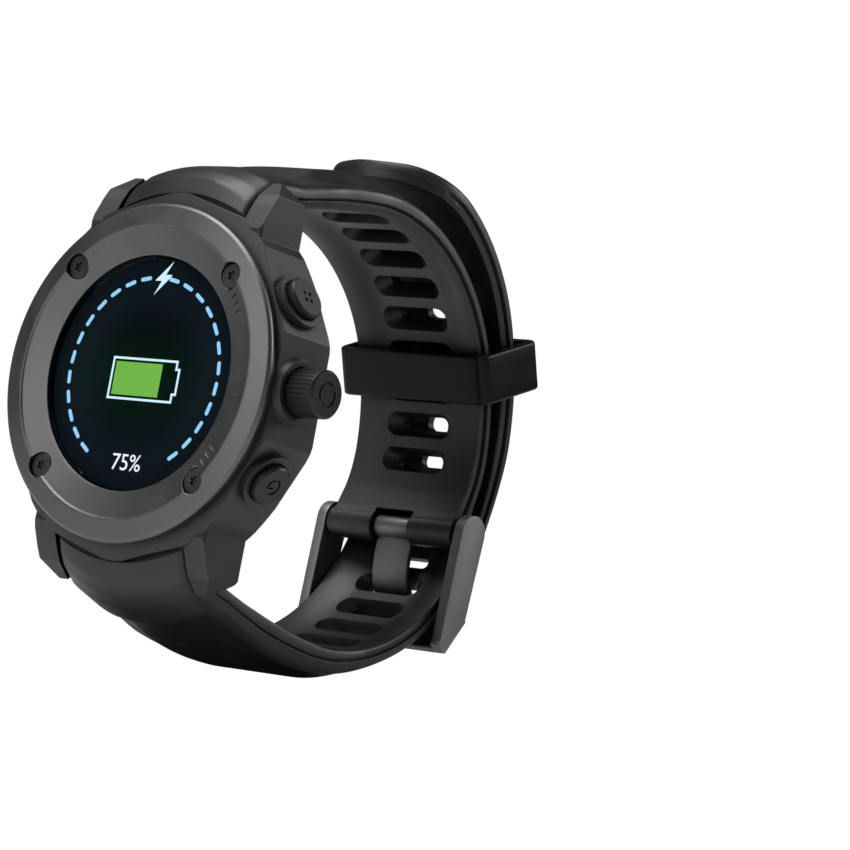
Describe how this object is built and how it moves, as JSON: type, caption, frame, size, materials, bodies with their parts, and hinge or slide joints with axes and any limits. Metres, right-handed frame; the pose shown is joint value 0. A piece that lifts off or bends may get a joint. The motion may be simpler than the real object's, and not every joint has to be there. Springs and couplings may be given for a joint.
{
  "type": "gps running watch",
  "caption": "Sports watch with a round screwed metal bezel, lit charging display, turning crown, push buttons and a buckled perforated rubber strap.",
  "frame": {"origin": "centre of the flat back of the case", "axes": "display faces -Y, wrist on +Y, 12 o'clock towards +Z, crown towards +X"},
  "size_m": [0.0534, 0.0755, 0.0782],
  "materials": {
    "bezel_metal": "fine bead-blasted gunmetal coating",
    "screw_steel": "dark coated steel",
    "display_glass": "polished cover glass over a dark display",
    "seal_rubber": "matte",
    "display_module": "dark display with lit light blue and green symbols",
    "inner_plastic": "moulded",
    "flex_film": "amber film",
    "case_plastic": "fine moulded texture",
    "circuit_board": "solder mask",
    "shield_steel": "satin",
    "battery_foil": "foil pouch",
    "antenna_ceramic": "fired ceramic",
    "sensor_glass": "dark polished window",
    "back_plastic": "moulded",
    "contact_gold": "gold plated",
    "control_plastic": "fine moulded texture",
    "spring_steel": "satin",
    "strap_rubber": "soft moulded, matte with a faint sheen",
    "keeper_rubber": "soft moulded, matte",
    "buckle_metal": "fine bead-blasted gunmetal coating"
  },
  "bodies": {
    "watch": {"bezel_ring": "bezel_metal", "bezel_screws": "screw_steel", "cover_glass": "display_glass", "glass_seal": "seal_rubber", "display_panel": "display_module", "display_frame": "inner_plastic", "display_cable": "flex_film", "mid_case": "case_plastic", "main_board": "circuit_board", "processor_shield": "shield_steel", "battery_cell": "battery_foil", "gps_antenna": "antenna_ceramic", "vibration_motor": "shield_steel", "sensor_board": "circuit_board", "optical_sensors": "inner_plastic", "sensor_window": "sensor_glass", "case_back": "back_plastic", "case_back_seal": "seal_rubber", "case_back_screws": "screw_steel", "charging_contacts": "contact_gold", "side_switches": "shield_steel", "switch_bracket": "shield_steel", "top_button_spring": "spring_steel", "bottom_button_spring": "spring_steel", "crown_spring": "spring_steel", "top_button_seal": "seal_rubber", "bottom_button_seal": "seal_rubber", "crown_seal": "seal_rubber", "strap_upper": "strap_rubber", "strap_lower": "strap_rubber", "upper_bar_tube": "spring_steel", "lower_bar_tube": "spring_steel", "upper_bar_spring": "spring_steel", "lower_bar_spring": "spring_steel"},
    "top_button": {"top_button": "control_plastic", "top_button_clip": "spring_steel"},
    "bottom_button": {"bottom_button": "control_plastic", "bottom_button_clip": "spring_steel"},
    "crown_sleeve": {"crown_sleeve": "spring_steel", "crown_clip": "spring_steel"},
    "crown_knob": {"crown_knob": "control_plastic", "encoder_magnet": "shield_steel"},
    "keeper": {"strap_keeper": "keeper_rubber"},
    "buckle": {"buckle_frame": "buckle_metal", "buckle_pin": "buckle_metal"},
    "tongue": {"buckle_tongue": "buckle_metal"},
    "upper_tip_right": {"upper_bar_tip_right": "spring_steel"},
    "upper_tip_left": {"upper_bar_tip_left": "spring_steel"},
    "lower_tip_right": {"lower_bar_tip_right": "spring_steel"},
    "lower_tip_left": {"lower_bar_tip_left": "spring_steel"}
  },
  "joints": [
    {"name": "top_button_press", "type": "slide", "parent": "watch", "child": "top_button", "axis": [-0.866, 0, -0.5], "range_m": [0, 0.0008], "deforming": ["top_button_spring"]},
    {"name": "bottom_button_press", "type": "slide", "parent": "watch", "child": "bottom_button", "axis": [-0.866, 0, 0.5], "range_m": [0, 0.0008], "deforming": ["bottom_button_spring"]},
    {"name": "crown_press", "type": "slide", "parent": "watch", "child": "crown_sleeve", "axis": [-1, 0, 0], "range_m": [0, 0.0008], "deforming": ["crown_spring"]},
    {"name": "crown_turn", "type": "hinge", "parent": "crown_sleeve", "child": "crown_knob", "pos_m": [0.025, -0.0062, 0], "axis": [1, 0, 0], "continuous": true},
    {"name": "keeper_slide", "type": "hinge", "parent": "watch", "child": "keeper", "pos_m": [0, 0.026, 0.0029], "axis": [1, 0, 0], "range_deg": [-24, 11]},
    {"name": "buckle_swing", "type": "hinge", "parent": "watch", "child": "buckle", "pos_m": [0, 0.0512, -0.0105], "axis": [1, 0, 0], "range_deg": [-0.5, 1.5]},
    {"name": "tongue_swing", "type": "hinge", "parent": "watch", "child": "tongue", "pos_m": [0, 0.0512, -0.0105], "axis": [1, 0, 0], "range_deg": [-0.5, 1.5]},
    {"name": "upper_tip_right_release", "type": "slide", "parent": "watch", "child": "upper_tip_right", "axis": [-1, 0, 0], "range_m": [0, 0.0018], "deforming": ["upper_bar_spring"]},
    {"name": "upper_tip_left_release", "type": "slide", "parent": "watch", "child": "upper_tip_left", "axis": [1, 0, 0], "range_m": [0, 0.0018], "deforming": ["upper_bar_spring"]},
    {"name": "lower_tip_right_release", "type": "slide", "parent": "watch", "child": "lower_tip_right", "axis": [-1, 0, 0], "range_m": [0, 0.0018], "deforming": ["lower_bar_spring"]},
    {"name": "lower_tip_left_release", "type": "slide", "parent": "watch", "child": "lower_tip_left", "axis": [1, 0, 0], "range_m": [0, 0.0018], "deforming": ["lower_bar_spring"]}
  ],
  "couplings": [
    {"joint": "tongue_swing", "follows": "buckle_swing", "ratio": 1}
  ]
}
